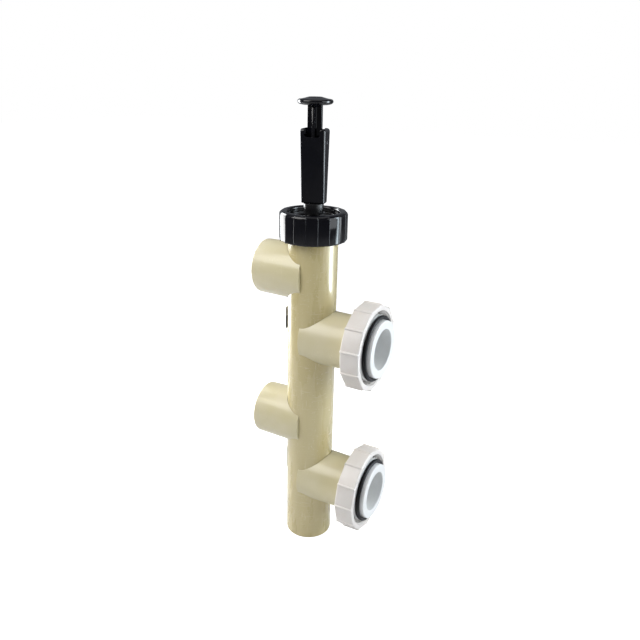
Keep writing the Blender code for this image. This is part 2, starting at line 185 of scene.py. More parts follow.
# %% Draw a line of points in edit mode
def draw(name, points):
    """Starts from a tiny plane merged to one vertex, and extrudes it from point to point."""
    clear_selection()
    bpy.ops.mesh.primitive_plane_add(size=0.001, location=(0, 0, 0))
    piece = bpy.context.object
    piece.name = name
    bpy.ops.object.mode_set(mode="EDIT")
    bpy.ops.mesh.select_mode(type="VERT")
    bpy.ops.mesh.select_all(action="SELECT")
    bpy.ops.mesh.merge(type="CENTER")
    bpy.ops.transform.translate(value=points[0])
    for start, end in zip(points, points[1:]):
        bpy.ops.mesh.extrude_region_move(TRANSFORM_OT_translate={"value": end - start})
    return piece


def tidy_mesh():
    """Merges doubles, closes open ends and turns every face outward."""
    bpy.ops.mesh.select_all(action="SELECT")
    bpy.ops.mesh.remove_doubles(threshold=1e-6)
    bpy.ops.mesh.fill_holes(sides=0)
    bpy.ops.mesh.normals_make_consistent(inside=False)
    bpy.ops.object.mode_set(mode="OBJECT")


# %% Spin an outline round a line
def turned(name, outline, line, sides=96, sweep=tau, steps=4):
    """A lathe-turned piece; an outline that stays off the axis is closed."""
    point, along, outward = line
    closed = min(spot[0] for spot in outline) > 0.0
    curve = rounded(outline, closed, steps)
    points = [point + outward * radius + along * height for radius, height in curve]
    if closed:
        points.append(points[0])
    piece = draw(name, points)
    bpy.ops.mesh.select_all(action="SELECT")
    bpy.ops.mesh.spin(steps=sides, angle=-sweep, center=point, axis=along)
    tidy_mesh()
    return piece


def ring_outline(major, minor, height, sides=14):
    """The round section of a seal."""
    return [(major + minor * cos(tau * step / sides), height + minor * sin(tau * step / sides))
            for step in range(sides)]


# %% [markdown]
# ## Cutting and copying
# A Boolean takes one shape out of another, like a drill or a mill.  The exact
# solver is slower than the fast one, but it copes with faces that just touch.
# The tool is thrown away once the modifier is applied.


# %% Cut with a tool
def drill(radius, start, end, line, sides):
    """A round tool on a line, from one place along it to another."""
    return turned("drill", [(0, start), (radius, start), (radius, end), (0, end)], line, sides)


def block(centre, size, turn=0.0):
    """A box by its centre and size, turned about the upright."""
    clear_selection()
    bpy.ops.mesh.primitive_cube_add(size=1.0, location=centre, rotation=(0, 0, turn))
    made = bpy.context.object
    made.scale = size
    bpy.ops.object.transform_apply(location=True, rotation=True, scale=True)
    return made


def carve(piece, *tools):
    """Takes the tools' shapes out of the piece and removes the tools."""
    for tool in tools:
        pick(piece)
        bpy.ops.object.modifier_add(type="BOOLEAN")
        boolean = piece.modifiers[-1]
        boolean.operation = "DIFFERENCE"
        boolean.solver = "EXACT"
        boolean.object = tool
        bpy.ops.object.modifier_apply(modifier=boolean.name)
        bpy.data.objects.remove(tool)
    return piece


def soften(piece, width, segments=2, angle=40):
    """Rounds every edge sharper than an angle."""
    pick(piece)
    bpy.ops.object.modifier_add(type="BEVEL")
    bevel = piece.modifiers[-1]
    bevel.width = width
    bevel.segments = segments
    bevel.limit_method = "ANGLE"
    bevel.angle_limit = radians(angle)
    bevel.use_clamp_overlap = True
    bpy.ops.object.modifier_apply(modifier=bevel.name)
    return piece


def copied(piece, name, shift=(0, 0, 0), turn=0.0, line=None):
    """A copy with its own mesh, moved and turned round a line."""
    twin = piece.copy()
    twin.data = piece.data.copy()
    twin.name = name
    bpy.context.scene.collection.objects.link(twin)
    if turn:
        point, along, _ = line
        there = Matrix.Translation(point)
        twin.data.transform(there @ Matrix.Rotation(turn, 4, along) @ there.inverted())
    twin.data.transform(Matrix.Translation(shift))
    return twin


# %% [markdown]
# ## Shared surface effects
# Plastic is never one flat colour: the melt leaves faint clouds, the mould
# leaves a fine grain, hands leave scuffs, and edges are rubbed pale.  Each
# effect is a node group made once, with named sockets, so every finish can use
# it at its own strength.  The shader itself stays in each material.


# %% A node group with named sockets
def effect(name, inputs, outputs):
    """An empty shader node group with its sockets and its two end nodes."""
    group = bpy.data.node_groups.new(name, "ShaderNodeTree")
    for socket, kind, value in inputs:
        made = group.interface.new_socket(name=socket, in_out="INPUT", socket_type=kind)
        made.default_value = value
    for socket, kind in outputs:
        group.interface.new_socket(name=socket, in_out="OUTPUT", socket_type=kind)
    start = group.nodes.new("NodeGroupInput")
    end = group.nodes.new("NodeGroupOutput")
    return group, start, end


def node(tree, kind, settings=None, **inputs):
    """Adds a node, sets its options, and links or sets its inputs.

    An input goes by its name, or by its number as i0, i1 and so on."""
    made = tree.nodes.new("ShaderNode" + kind)
    for option, value in (settings or {}).items():
        setattr(made, option, value)
    for socket, value in inputs.items():
        numbered = socket[0] == "i" and socket[1:].isdigit()
        target = made.inputs[int(socket[1:]) if numbered else socket.replace("_", " ")]
        if isinstance(value, bpy.types.NodeSocket):
            tree.links.new(value, target)
        else:
            target.default_value = value
    return made


# %% Clouds in the melt
FLOAT, COLOUR, VECTOR = "NodeSocketFloat", "NodeSocketColor", "NodeSocketVector"


def melt_clouds():
    """Mixes two near colours by soft noise, stretched along one direction if asked."""
    group, start, end = effect("melt_clouds", [
        ("Colour", COLOUR, (0.5, 0.5, 0.5, 1)), ("Cloud Colour", COLOUR, (0.4, 0.4, 0.4, 1)),
        ("Size", FLOAT, 30.0), ("Stretch", VECTOR, (1, 1, 1)),
    ], [("Colour", COLOUR), ("Clouds", FLOAT)])
    where = node(group, "TexCoord").outputs["Object"]
    stretched = node(group, "VectorMath", {"operation": "MULTIPLY"},
                     i0=where, i1=start.outputs["Stretch"]).outputs[0]
    noise = node(group, "TexNoise", Vector=stretched, Scale=start.outputs["Size"],
                 Detail=4.0, Roughness=0.55).outputs["Fac"]
    clouds = node(group, "MapRange", {"interpolation_type": "SMOOTHSTEP"},
                  Value=noise, From_Min=0.35, From_Max=0.68).outputs[0]
    mixed = node(group, "Mix", {"data_type": "RGBA"}, i0=clouds,
                 i6=start.outputs["Colour"], i7=start.outputs["Cloud Colour"]).outputs[2]
    group.links.new(mixed, end.inputs["Colour"])
    group.links.new(clouds, end.inputs["Clouds"])
    return group


# %% Fine grain of the mould
def mould_grain():
    """A height for a bump: fine pits over a gentle unevenness."""
    group, start, end = effect("mould_grain", [
        ("Pit Size", FLOAT, 1800.0), ("Pit Depth", FLOAT, 0.3), ("Wave Size", FLOAT, 90.0),
    ], [("Height", FLOAT)])
    where = node(group, "TexCoord").outputs["Object"]
    pits = node(group, "TexNoise", Vector=where, Scale=start.outputs["Pit Size"],
                Detail=2.0).outputs["Fac"]
    waves = node(group, "TexNoise", Vector=where, Scale=start.outputs["Wave Size"],
                 Detail=1.0).outputs["Fac"]
    height = node(group, "Math", {"operation": "MULTIPLY_ADD"},
                  i0=pits, i1=start.outputs["Pit Depth"], i2=waves).outputs[0]
    group.links.new(height, end.inputs["Height"])
    return group


# %% Rubbed edges
def rubbed_edges():
    """A mask that is bright where a rounded normal leaves the true one."""
    group, start, end = effect("rubbed_edges", [("Width", FLOAT, 0.001)], [("Mask", FLOAT)])
    soft = node(group, "Bevel", {"samples": 4}, Radius=start.outputs["Width"]).outputs[0]
    true = node(group, "NewGeometry").outputs["Normal"]
    same = node(group, "VectorMath", {"operation": "DOT_PRODUCT"},
                i0=soft, i1=true).outputs["Value"]
    edge = node(group, "MapRange", Value=same, From_Min=0.995, From_Max=0.85).outputs[0]
    where = node(group, "TexCoord").outputs["Object"]
    broken = node(group, "TexNoise", Vector=where, Scale=260.0, Detail=3.0).outputs["Fac"]
    patchy = node(group, "MapRange", Value=broken, From_Min=0.3, From_Max=0.6).outputs[0]
    mask = node(group, "Math", {"operation": "MULTIPLY"}, i0=edge, i1=patchy).outputs[0]
    group.links.new(mask, end.inputs["Mask"])
    return group


# %% Scuffs from handling
def handling_scuffs():
    """A mask of thin crossing scratches that come and go in patches."""
    group, start, end = effect("handling_scuffs", [
        ("Size", FLOAT, 60.0), ("Amount", FLOAT, 0.5)], [("Mask", FLOAT)])
    where = node(group, "TexCoord").outputs["Object"]
    total = None
    for stretch in ((1.0, 1.0, 14.0), (9.0, 11.0, 1.0), (12.0, 1.0, 7.0)):
        lines = node(group, "VectorMath", {"operation": "MULTIPLY"},
                     i0=where, i1=stretch).outputs[0]
        noise = node(group, "TexNoise", Vector=lines, Scale=start.outputs["Size"],
                     Detail=3.0, Distortion=0.4).outputs["Fac"]
        thin = node(group, "MapRange", Value=noise, From_Min=0.64, From_Max=0.70).outputs[0]
        total = thin if total is None else node(
            group, "Math", {"operation": "MAXIMUM"}, i0=total, i1=thin).outputs[0]
    patches = node(group, "TexNoise", Vector=where, Scale=22.0).outputs["Fac"]
    here = node(group, "MapRange", Value=patches, From_Min=0.45, From_Max=0.62).outputs[0]
    some = node(group, "Math", {"operation": "MULTIPLY"}, i0=total, i1=here).outputs[0]
    mask = node(group, "Math", {"operation": "MULTIPLY"}, i0=some,
                i1=start.outputs["Amount"]).outputs[0]
    group.links.new(mask, end.inputs["Mask"])
    return group


EFFECTS = {group.name: group for group in
           (melt_clouds(), mould_grain(), rubbed_edges(), handling_scuffs())}
print("shared effects:", sorted(EFFECTS))

# %% [markdown]
# ## Finishes
# One recipe serves the plastics, the rubber and the steel: clouded colour,
# paler rubbed edges, scuffs that dull the gloss, and a bump from a fine grain.
# The numbers say which one it is, and the cream plastics add a thin clear coat.
# Values that don't change over the surface go straight on the Principled
# shader's own sockets.


# %% A moulded finish
def use(tree, name, **inputs):
    """Places a shared effect in a material."""
    made = tree.nodes.new("ShaderNodeGroup")
    made.node_tree = EFFECTS[name]
    for socket, value in inputs.items():
        made.inputs[socket.replace("_", " ")].default_value = value
    return made


def moulded(name, colour, cloud, edge, gloss, grain, size=30.0, stretch=(1, 1, 1),
            scuffs=0.5, wear=0.5, wave=90.0, specular=0.5, coat=0.0, metal=0.0):
    """A Principled material for a moulded, turned or extruded piece."""
    made = bpy.data.materials.new(name)
    made.use_nodes = True
    tree = made.node_tree
    shader = tree.nodes["Principled BSDF"]
    clouds = use(tree, "melt_clouds", Colour=(*colour, 1), Cloud_Colour=(*cloud, 1),
                 Size=size, Stretch=stretch)
    edges = use(tree, "rubbed_edges", Width=0.0011)
    worn = node(tree, "Math", {"operation": "MULTIPLY"}, i0=edges.outputs["Mask"], i1=wear)
    paler = node(tree, "Mix", {"data_type": "RGBA"}, i0=worn.outputs[0],
                 i6=clouds.outputs["Colour"], i7=(*edge, 1))
    marks = use(tree, "handling_scuffs", Amount=scuffs)
    scuffed = node(tree, "Mix", {"data_type": "RGBA"}, i0=marks.outputs["Mask"],
                   i6=paler.outputs[2], i7=(*edge, 1))
    tree.links.new(scuffed.outputs[2], shader.inputs["Base Color"])
    low, high = gloss
    dull = node(tree, "MapRange", Value=clouds.outputs["Clouds"], To_Min=low, To_Max=high)
    rough = node(tree, "Math", {"operation": "MULTIPLY_ADD"}, i0=marks.outputs["Mask"],
                 i1=0.3, i2=dull.outputs[0])
    tree.links.new(rough.outputs[0], shader.inputs["Roughness"])
    pits = use(tree, "mould_grain", Wave_Size=wave, Pit_Depth=grain)
    bump = node(tree, "Bump", Strength=0.12, Distance=0.0004, Height=pits.outputs["Height"])
    tree.links.new(bump.outputs[0], shader.inputs["Normal"])
    shader.inputs["Specular IOR Level"].default_value = specular
    shader.inputs["Coat Weight"].default_value = coat
    shader.inputs["Coat Roughness"].default_value = 0.2
    shader.inputs["Metallic"].default_value = metal
    return made


# %% The valve's finishes
FINISH = {
    "cream pipe": moulded("cream_pipe", (0.57, 0.485, 0.240), (0.60, 0.520, 0.28),
                          (0.80, 0.74, 0.55), (0.24, 0.34), 0.25, size=16.0,
                          stretch=(3, 3, 0.5), scuffs=0.35, wear=0.35, coat=0.8),
    "cream fitting": moulded("cream_fitting", (0.66, 0.60, 0.375), (0.69, 0.63, 0.43),
                             (0.82, 0.76, 0.58), (0.28, 0.40), 0.4, size=26.0,
                             scuffs=0.3, wear=0.5, coat=0.3),
    "white fitting": moulded("white_fitting", (0.82, 0.785, 0.75), (0.79, 0.74, 0.70),
                             (0.86, 0.86, 0.86), (0.30, 0.42), 0.4, size=34.0,
                             scuffs=0.4, wear=0.6),
    "white seat": moulded("white_seat", (0.86, 0.87, 0.87), (0.83, 0.84, 0.83),
                          (0.90, 0.90, 0.90), (0.28, 0.38), 0.3, size=34.0, scuffs=0.3),
    "black gloss": moulded("black_gloss", (0.002, 0.002, 0.004), (0.004, 0.004, 0.006),
                           (0.02, 0.02, 0.025), (0.07, 0.13), 0.15, size=40.0,
                           scuffs=0.25, wear=0.3, wave=120.0, specular=0.38),
    "black satin": moulded("black_satin", (0.006, 0.006, 0.007), (0.010, 0.010, 0.011),
                           (0.03, 0.03, 0.033), (0.24, 0.36), 0.5, size=40.0,
                           scuffs=0.3, wear=0.3, specular=0.4),
    "seal rubber": moulded("seal_rubber", (0.003, 0.003, 0.004), (0.006, 0.006, 0.007),
                           (0.015, 0.015, 0.015), (0.38, 0.52), 0.9, size=70.0,
                           scuffs=0.2, wear=0.2, specular=0.2),
    "piston nylon": moulded("piston_nylon", (0.52, 0.51, 0.47), (0.58, 0.56, 0.51),
                            (0.70, 0.69, 0.66), (0.34, 0.46), 0.5, size=50.0),
    "turned steel": moulded("turned_steel", (0.58, 0.58, 0.59), (0.48, 0.48, 0.50),
                            (0.75, 0.75, 0.76), (0.22, 0.38), 0.6, size=400.0,
                            stretch=(1, 1, 7), wear=0.4, metal=1.0),
}
print("finishes:", sorted(FINISH))

# %% [markdown]
# ## Handing a piece over
# A finished piece needs smooth shading, a finish, a body to ride on, and the
# CAD nodes it stands for.  Smoothing by angle keeps flat faces flat and round
# faces round.


# %% Finish a piece
def hand_over(piece, stands_for, finish, smooth=32, weighted=False):
    """Shades a piece, gives it its finish, and lets it ride in place of a CAD node.

    Weighted normals keep wide flat sides evenly lit beside their rounded edges."""
    pick(piece)
    bpy.ops.object.shade_smooth_by_angle(angle=radians(smooth))
    if weighted:
        bpy.ops.object.modifier_add(type="WEIGHTED_NORMAL")
        piece.modifiers[-1].keep_sharp = True
        bpy.ops.object.modifier_apply(modifier=piece.modifiers[-1].name)
    piece.data.materials.clear()
    piece.data.materials.append(FINISH[finish])
    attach(piece, BODY_OF[stands_for])
    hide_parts(stands_for)
    piece.data.calc_loop_triangles()
    print(f"{piece.name}: {len(piece.data.loop_triangles)} triangles,",
          "size in mm", [round(1000 * side, 1) for side in piece.dimensions])
    return piece


# %% [markdown]
# ## The tube
# The body is a length of two-inch pipe.  Four ports are drilled through its
# wall, so it is turned first and then drilled from inside out with a round
# tool on each port's line.

# %% Turn and drill the tube
PORT_RADIUS = 0.024
tube = turned("tube", [
    (TUBE_BORE, tube_low.z, 0.0012), (TUBE_RADIUS, tube_low.z, 0.0016),
    (TUBE_RADIUS, tube_high.z, 0.0010), (TUBE_BORE, tube_high.z, 0.0010),
], STEM_LINE, sides=128)
for line in PORTS.values():
    carve(tube, drill(PORT_RADIUS, 0.008, 0.04, line, sides=72))
hand_over(tube, "body_tube", "cream pipe")

# %% [markdown]
# ## The pipe hubs
# Each hub is a moulded socket glued to the tube like a saddle, cut away to the
# tube's own curve as far as its middle.  Its outside tapers a little so that
# it leaves the mould.  One hub is turned and cut, a hair's breadth clear of the
# tube, and the four real ones are copies of it.

# %% Turn the hub and cut its saddle
first_line = PORTS["filter_hub_lower"]
hub_low, hub_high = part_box("filter_hub_lower")
HUB_MOUTH, HUB_ROOT_RADIUS = hub_high.x - STEM_X, (hub_high.y - hub_low.y) / 2
HUB_MOUTH_RADIUS, SOCKET_RADIUS, SOCKET_FLOOR = 0.0336, 0.03035, 0.035


def hub_blank():
    """A socket with its mouth rounded and a stop for the pipe inside."""
    blank = turned("hub", [
        (HUB_ROOT_RADIUS, 0.0), (HUB_MOUTH_RADIUS, HUB_MOUTH, 0.0012),
        (SOCKET_RADIUS, HUB_MOUTH, 0.0010), (SOCKET_RADIUS, SOCKET_FLOOR, 0.0005),
        (PORT_RADIUS, SOCKET_FLOOR, 0.0008), (PORT_RADIUS, 0.0),
    ], first_line, sides=112)
    saddle = drill(TUBE_RADIUS + GAP, tube_low.z - 0.01, tube_high.z, STEM_LINE, sides=128)
    return carve(blank, saddle)


hub = hub_blank()
for port, (point, way, _) in PORTS.items():
    turn = 0.0 if way.x > 0 else pi
    twin = copied(hub, "hub_" + port, turn=turn, line=STEM_LINE,
                  shift=point - first_line[0])
    hand_over(twin, port, "cream fitting")
bpy.data.objects.remove(hub)

# %% [markdown]
# ## The union tailpieces
# A white tailpiece is glued into each filter-side hub.  Its collar takes the
# pull of the nut, and its nose carries the seal and meets the filter.  It is
# turned in one outline, and the second is a copy one port higher.

# %% Turn the tailpieces and their seals
PORT_PITCH = PORTS["filter_hub_upper"][0].z - PORTS["filter_hub_lower"][0].z
tail_low, tail_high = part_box("union_adapter_lower")
FACE, COLLAR_RADIUS = tail_high.x - STEM_X, (tail_high.y - tail_low.y) / 2
COLLAR_BACK, COLLAR_FRONT = 0.0758, 0.0883
NECK_RADIUS, NOSE_RADIUS, WATER_WAY, SEAL_SECTION = 0.033, 0.0355, 0.025, 0.0025
SPIGOT_RADIUS, SPIGOT_FOOT = SOCKET_RADIUS - GAP, SOCKET_FLOOR + GAP
tailpiece = turned("tailpiece_lower", [
    (SPIGOT_RADIUS, SPIGOT_FOOT, 0.0005), (SPIGOT_RADIUS, HUB_MOUTH + GAP),
    (NECK_RADIUS, HUB_MOUTH + GAP, 0.0005), (NECK_RADIUS, COLLAR_BACK, 0.0006),
    (COLLAR_RADIUS, COLLAR_BACK, 0.0008), (COLLAR_RADIUS, COLLAR_FRONT, 0.0008),
    (NOSE_RADIUS, COLLAR_FRONT, 0.0005), (NOSE_RADIUS, FACE, 0.0012),
    (WATER_WAY, FACE, 0.0009), (WATER_WAY, SPIGOT_FOOT, 0.0005),
], first_line, sides=112)
seal = turned("union_seal_lower", ring_outline(
    NOSE_RADIUS + GAP + SEAL_SECTION, SEAL_SECTION, COLLAR_FRONT + GAP + SEAL_SECTION, sides=16),
    first_line, sides=96)
up_one_port = (0, 0, PORT_PITCH)
for level, shift in (("lower", (0, 0, 0)), ("upper", up_one_port)):
    for model, made, stands_for, finish, slot in (
            (tailpiece, "tailpiece_", "union_adapter_", "white seat", "white_pvc"),
            (seal, "union_seal_", "union_o_ring_", "seal rubber", "seal_rubber")):
        piece = model if level == "lower" else copied(model, made + level, shift)
        hand_over(piece, stands_for + level, finish)

# %% [markdown]
# ## Nuts with flat sides and beads
# A union nut is turned by hand, so its rim has nearly flat sides with a raised
# bead at each corner for the fingers.  One sector of that rim is drawn, a spin with
# duplicates repeats it all round, and the ring is then extruded along its
# axis.  Each step of the extrusion is scaled a little, which rounds the rims.


# %% Draw one sector, repeat it and extrude it
def beaded_sector(count, radius, half_width, height, crown):
    """One sector of a rim: a round bead, and half a side each way of it.

    A crown of 0 makes the sides flat, and 1 makes them part of a circle."""
    half_sector = pi / count
    foot = half_width / radius
    ring = radius - height

    def side(angle):
        flat = ring * cos(half_sector) / cos(half_sector - angle)
        return flat + (ring - flat) * crown

    edge = [(half_sector + (foot - half_sector) * share / 4) for share in range(4)]
    right = [(angle, side(angle)) for angle in reversed(edge)]
    bead = [(foot * share, side(foot) + (radius - side(foot)) * sqrt(1 - share ** 2))
            for share in (-1.0, -0.92, -0.7, -0.36, 0.0, 0.36, 0.7, 0.92, 1.0)]
    left = [(-angle, reach) for angle, reach in reversed(right)]
    return left + bead + right


def extruded(name, line, count, sector, stations, phase=0.0):
    """Repeats a sector of (angle, radius) and extrudes it through (place, scale)."""
    point, along, outward = line
    sideways = along.cross(outward)
    scale = stations[0][1]
    start = point + along * stations[0][0]
    points = [start + scale * reach * (outward * cos(phase + angle) + sideways * sin(phase + angle))
              for angle, reach in sector]
    piece = draw(name, points)
    bpy.ops.mesh.select_all(action="SELECT")
    bpy.ops.mesh.spin(steps=count, angle=tau, dupli=True, center=point, axis=along)
    bpy.ops.mesh.select_all(action="SELECT")
    bpy.ops.mesh.remove_doubles(threshold=1e-6)
    for (place, size), (next_place, next_size) in zip(stations, stations[1:]):
        bpy.ops.mesh.extrude_region_move(
            TRANSFORM_OT_translate={"value": along * (next_place - place)})
        grow = next_size / size
        across = [1.0 if abs(axis) > 0.5 else grow for axis in along]
        bpy.ops.transform.resize(value=across, center_override=point)
    tidy_mesh()
    return piece


def eased_ends(back, front, back_ease, front_ease, radius):
    """Stations that round both rims of a beaded ring, each by its own amount."""
    quarter = [radians(angle) for angle in (0, 22, 45, 68, 90)]
    low = [(back + back_ease * (1 - sin(angle)), 1 - back_ease * (1 - cos(angle)) / radius)
           for angle in reversed(quarter)]
    high = [(front - front_ease * (1 - sin(angle)), 1 - front_ease * (1 - cos(angle)) / radius)
            for angle in quarter]
    return low + high


# %% [markdown]
# ## The union nuts
# Inside, a nut has a smooth seat that pulls on the tailpiece's collar, and a
# coarse thread for the filter's port.  The bore is one turned tool with the
# thread's ridges in its outline, taken out of the beaded solid in a single cut.

# %% Cut a union nut
nut_low, nut_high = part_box("union_nut_lower")
NUT_BACK, NUT_FRONT = nut_low.x - STEM_X, nut_high.x - STEM_X
NUT_RADIUS, NUT_SIDES = (nut_high.z - nut_low.z) / 2, 12
NUT_HOLE, NUT_SEAT, NUT_CHAMFER = 0.0355, 0.0753, 0.0006
THREAD_RADIUS, RIDGE_RADIUS, FIRST_RIDGE = 0.0460, 0.0449, 0.0776
RIDGE_PITCH, RIDGE_FLANK = 0.0039, 0.0009
nut_line = (first_line[0], X, Y)
union_nut = extruded("union_nut_blank", nut_line, NUT_SIDES,
                     beaded_sector(NUT_SIDES, NUT_RADIUS, 0.0015, 0.0014, 0.45),
                     eased_ends(NUT_BACK, NUT_FRONT, 0.0022, 0.0016, NUT_RADIUS))
thread = []
for ridge in range(3):
    place = FIRST_RIDGE + RIDGE_PITCH * ridge
    for step, radius in enumerate((THREAD_RADIUS, RIDGE_RADIUS, RIDGE_RADIUS, THREAD_RADIUS)):
        thread.append((radius, place + RIDGE_FLANK * step, 0.0004))
bore = turned("bore", [
    (0, NUT_BACK - BEYOND), (NUT_HOLE + 0.0007, NUT_BACK - BEYOND),
    (NUT_HOLE + 0.0007, NUT_BACK, 0.0008), (NUT_HOLE, NUT_BACK + 0.0008, 0.0004),
    (NUT_HOLE, NUT_SEAT), (THREAD_RADIUS, NUT_SEAT, 0.0006), *thread,
    (THREAD_RADIUS, NUT_FRONT - 0.0007, 0.0004), (THREAD_RADIUS + NUT_CHAMFER, NUT_FRONT, 0.0003),
    (THREAD_RADIUS + NUT_CHAMFER, NUT_FRONT + BEYOND), (0, NUT_FRONT + BEYOND),
], first_line, sides=96, steps=2)
carve(union_nut, bore)

# %% Place both union nuts
for level, shift, phase in (("lower", (0, 0, 0), 0.0), ("upper", up_one_port, 20.0)):
    piece = copied(union_nut, "ribbed_union_nut_" + level, shift,
                   turn=radians(phase), line=first_line)
    hand_over(piece, "union_nut_" + level, "white fitting")
bpy.data.objects.remove(union_nut)

# %% [markdown]
# ## The bonnet nut
# The black nut holds the bonnet down on the tube.  It has eighteen narrower
# sides with a thin line along each corner, and a generous round at the top.
# It is made as the union nuts are, only upright.

# %% Cut the bonnet nut
cap_low, cap_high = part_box("bonnet_nut")
plug_low, plug_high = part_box("bonnet")
CAP_RADIUS, CAP_SIDES = (cap_high.y - cap_low.y) / 2, 18
CAP_HOLE, CAP_INSIDE, CAP_CEILING = 0.03085, 0.0368, plug_high.z + GAP
CAP_FLARE = CAP_HOLE + 0.00175
cap = extruded("bonnet_nut_black", STEM_LINE, CAP_SIDES,
               beaded_sector(CAP_SIDES, CAP_RADIUS, 0.0006, 0.0004, 0.6),
               eased_ends(cap_low.z, cap_high.z, 0.0020, 0.0042, CAP_RADIUS),
               phase=radians(6.2))
cap_bore = turned("bore", [
    (0, cap_low.z - BEYOND), (CAP_INSIDE + 0.0006, cap_low.z - BEYOND),
    (CAP_INSIDE + 0.0006, cap_low.z, 0.0004), (CAP_INSIDE, cap_low.z + 0.0008),
    (CAP_INSIDE, CAP_CEILING, 0.0006), (CAP_HOLE, CAP_CEILING, 0.0003),
    (CAP_HOLE, cap_high.z - 0.0014, 0.0010), (CAP_FLARE, cap_high.z, 0.0004),
    (CAP_FLARE, cap_high.z + BEYOND), (0, cap_high.z + BEYOND),
], STEM_LINE, sides=96)
carve(cap, cap_bore)
hand_over(cap, "bonnet_nut", "black gloss")

# %% [markdown]
# ## The bonnet and the lock plate
# The bonnet closes the tube's top and guides the stem.  On it lies a disc with
# a slot, held by three screws: the stem's two ears pass the slot in one
# direction only, and a quarter turn locks them under it.  Both are turned, and
# the slot and screw holes are cut with simple tools.

# %% Turn the bonnet and cut the plate
plate_low, plate_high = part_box("lock_plate")
PLATE_RADIUS, PLATE_HOLE, SLOT_SIZE = (plate_high.y - plate_low.y) / 2, 0.0082, (0.0372, 0.0088)
PLUG_RADIUS, FLANGE_RADIUS, GUIDE_RADIUS = 0.0259, (plug_high.y - plug_low.y) / 2, 0.0079
GROOVE_RADIUS, GROOVE_LOW, GROOVE_HIGH = 0.0230, 0.3240, 0.3284
FLANGE_LOW = tube_high.z + GAP
RECESS_RADIUS, RECESS_FLOOR = PLATE_RADIUS + GAP, plate_low.z - GAP
EAR_ROOM_RADIUS, EAR_ROOM_FLOOR = 0.0195, 0.334
bonnet = turned("bonnet_plug", [
    (GUIDE_RADIUS, plug_low.z, 0.0004), (PLUG_RADIUS - 0.0010, plug_low.z, 0.0006),
    (PLUG_RADIUS, plug_low.z + 0.0010, 0.0003), (PLUG_RADIUS, GROOVE_LOW),
    (GROOVE_RADIUS, GROOVE_LOW), (GROOVE_RADIUS, GROOVE_HIGH), (PLUG_RADIUS, GROOVE_HIGH),
    (PLUG_RADIUS, FLANGE_LOW), (FLANGE_RADIUS, FLANGE_LOW, 0.0004),
    (FLANGE_RADIUS, plug_high.z, 0.0008), (RECESS_RADIUS, plug_high.z, 0.0005),
    (RECESS_RADIUS, RECESS_FLOOR), (EAR_ROOM_RADIUS, RECESS_FLOOR, 0.0005),
    (EAR_ROOM_RADIUS, EAR_ROOM_FLOOR, 0.0006), (GUIDE_RADIUS, EAR_ROOM_FLOOR, 0.0005),
], STEM_LINE, sides=96)
plate = turned("slotted_plate", [
    (PLATE_HOLE, plate_low.z, 0.0003), (PLATE_RADIUS, plate_low.z, 0.0003),
    (PLATE_RADIUS, plate_high.z, 0.0006), (PLATE_HOLE, plate_high.z, 0.0006),
], STEM_LINE, sides=96)
slot_tool = block((STEM_X, 0, 0.347), (*SLOT_SIZE, 0.010))
carve(plate, soften(slot_tool, 0.0012, 3))
hand_over(bonnet, "bonnet", "black satin")

# %% [markdown]
# ## The screws
# Three small pan-head screws hold the plate.  A cross recess is two crossed
# blocks taken out of the head.  One screw is made on the stem's axis and copied
# out to its three places, where the plate gets its holes.

# %% Make one screw and copy it
SCREW_CIRCLE, SHANK_RADIUS, HEAD_RADIUS = 0.0225, 0.0014, 0.0027
screw_low, screw_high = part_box("lock_screw_1")
head_seat = plate_high.z + GAP
screw = turned("screw", [
    (0, screw_low.z), (SHANK_RADIUS - 0.0002, screw_low.z, 0.0003),
    (SHANK_RADIUS, screw_low.z + 0.0010), (SHANK_RADIUS, head_seat, 0.0002),
    (HEAD_RADIUS, head_seat, 0.0003), (HEAD_RADIUS, head_seat + 0.0007, 0.0006),
    (0.0016, screw_high.z, 0.0006), (0, screw_high.z),
], STEM_LINE, sides=32)
for quarter in (0.0, pi / 2):
    carve(screw, block((STEM_X, 0, screw_high.z), (0.0030, 0.0006, 0.0016), quarter))
for number, degrees in enumerate((90, 210, 330), start=1):
    angle = radians(degrees)
    spot = Vector((SCREW_CIRCLE * cos(angle), SCREW_CIRCLE * sin(angle), 0.0))
    hole = drill(SHANK_RADIUS + GAP, 0.34, 0.352, STEM_LINE, sides=24)
    hole.data.transform(Matrix.Translation(spot))
    carve(plate, hole)
    piece = copied(screw, f"plate_screw_{number}", spot, turn=angle, line=STEM_LINE)
    hand_over(piece, f"lock_screw_{number}", "turned steel")
bpy.data.objects.remove(screw)
hand_over(plate, "lock_plate", "black satin")

# %% [markdown]
# ## The pistons, the stem and their small parts
# Two grooved pistons ride on the stem and are held apart by a tube.  They show
# only through the ports and the open foot, but the handle's motion brings them
# past those, so they are finished like the rest.  All are turned: a list of
# outlines is enough.

# %% Outlines of the inner parts
ROD_RADIUS, ROD_HOLE, STUD_RADIUS = 0.0075, 0.0078, 0.0058
COLLAR_REACH, THREAD_ROOT, THREAD_TOP = 0.012, 0.0045, 0.0050
PISTON_RADIUS, PISTON_HALF = 0.0255, 0.009
GROOVE_DEPTH, RING_OFFSET, RING_HALF = 0.0041, 0.0045, 0.0022


